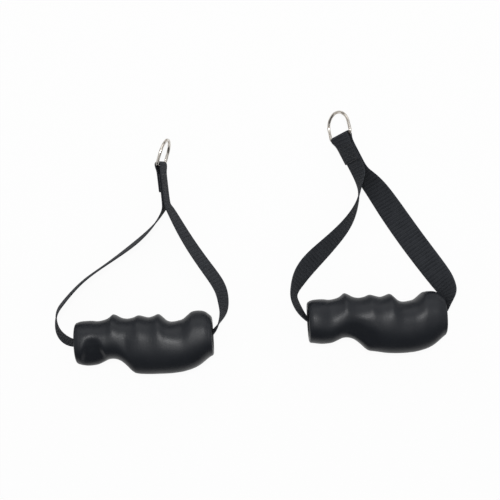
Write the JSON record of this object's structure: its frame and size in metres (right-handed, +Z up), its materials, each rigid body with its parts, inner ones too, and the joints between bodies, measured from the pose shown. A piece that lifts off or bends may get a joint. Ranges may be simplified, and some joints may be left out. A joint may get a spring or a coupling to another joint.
{
  "type": "pair of exercise handles",
  "caption": "Moulded hand grips on black webbing loops, each loop sewn to a metal D-ring for clipping to resistance bands or a cable.",
  "frame": {"origin": "on the ground, under the middle of the pair's bounding box", "axes": "+X along the pair, towards the right handle and the grips' horn ends; +Y from the grips towards the D-rings; +Z up"},
  "size_m": [0.3939, 0.258, 0.0417],
  "materials": {
    "grip_rubber": "satin moulded rubber",
    "core_tube_plastic": "matte extruded tube",
    "bushing_plastic": "satin moulded",
    "nylon_webbing": "woven, cross ribbed",
    "black_thread": "twisted bonded thread",
    "plated_steel": "bright nickel or chrome plate"
  },
  "bodies": {
    "left_grip": {"left_hand_grip": "grip_rubber", "left_core_tube": "core_tube_plastic", "left_small_end_bushing": "bushing_plastic", "left_horn_end_bushing": "bushing_plastic"},
    "left_strap": {"left_webbing": "nylon_webbing", "left_outer_face_stitching": "black_thread", "left_tail_face_stitching": "black_thread"},
    "left_ring": {"left_d_ring": "plated_steel"},
    "right_grip": {"right_hand_grip": "grip_rubber", "right_core_tube": "core_tube_plastic", "right_small_end_bushing": "bushing_plastic", "right_horn_end_bushing": "bushing_plastic"},
    "right_strap": {"right_webbing": "nylon_webbing", "right_outer_face_stitching": "black_thread", "right_tail_face_stitching": "black_thread"},
    "right_ring": {"right_d_ring": "plated_steel"}
  },
  "joints": [
    {"name": "left_strap_turn", "type": "hinge", "parent": "left_grip", "child": "left_strap", "pos_m": [-0.1066, -0.0959, 0.02045], "axis": [0.9981, 0.061, 0], "continuous": true},
    {"name": "left_ring_swing", "type": "hinge", "parent": "left_strap", "child": "left_ring", "pos_m": [-0.09159, 0.07574, 0.01543], "axis": [-0.1657, -0.0816, 0.9828], "range_deg": [-124, 176]},
    {"name": "right_strap_turn", "type": "hinge", "parent": "right_grip", "child": "right_strap", "pos_m": [0.1193, -0.0758, 0.02047], "axis": [0.9981, 0.061, 0], "continuous": true},
    {"name": "right_ring_swing", "type": "hinge", "parent": "right_strap", "child": "right_ring", "pos_m": [0.08569, 0.10288, 0.01467], "axis": [0.5684, 0.242, 0.7864], "range_deg": [-128, 172]},
    {"name": "right_grip_lift", "type": "slide", "parent": "left_grip", "child": "right_grip", "axis": [0, 0, 1], "range_m": [0, 0.3]}
  ]
}
